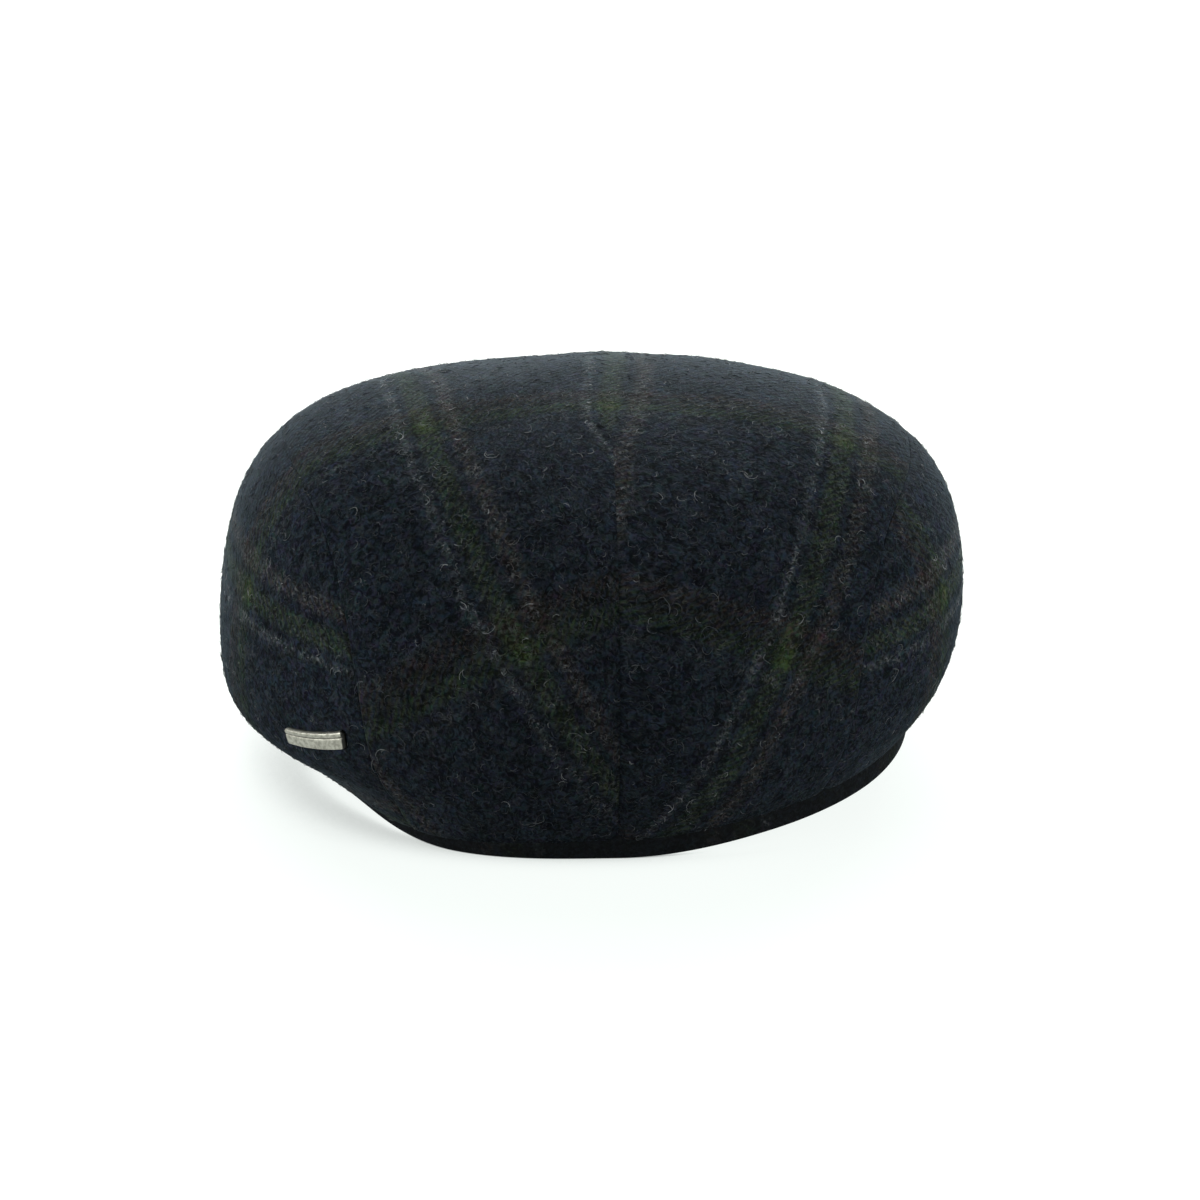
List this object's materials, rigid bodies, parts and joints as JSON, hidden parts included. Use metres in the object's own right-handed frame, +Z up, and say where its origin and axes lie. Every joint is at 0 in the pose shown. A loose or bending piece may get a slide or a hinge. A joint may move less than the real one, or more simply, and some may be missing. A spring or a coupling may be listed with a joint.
{
  "type": "flat cap",
  "caption": "Soft wool flat cap: a top with a centre-back seam, side panels, a folded rim band, a stiff peak under the front and a small bare metal plate at the side.",
  "frame": {"origin": "on the surface the cap stands on, under the middle of its box", "axes": "+Z up, the peak points along -Y and the centre-back seam lies at +Y, the wearer's left is +X"},
  "size_m": [0.2281, 0.265, 0.1215],
  "materials": {
    "wool_top": "napped tartan twill, matt",
    "wool_side_left": "napped tartan twill, matt",
    "wool_side_right": "napped tartan twill, matt",
    "wool_rim": "folded wool, matt",
    "wool_peak": "wool over a stiff board, matt",
    "pewter": "aged pewter, satin, worn bright at its edges"
  },
  "bodies": {
    "root": {"crown_top": "wool_top", "side_panel_left": "wool_side_left", "side_panel_right": "wool_side_right", "rim_band": "wool_rim", "peak": "wool_peak", "name_plate": "pewter"}
  },
  "joints": []
}
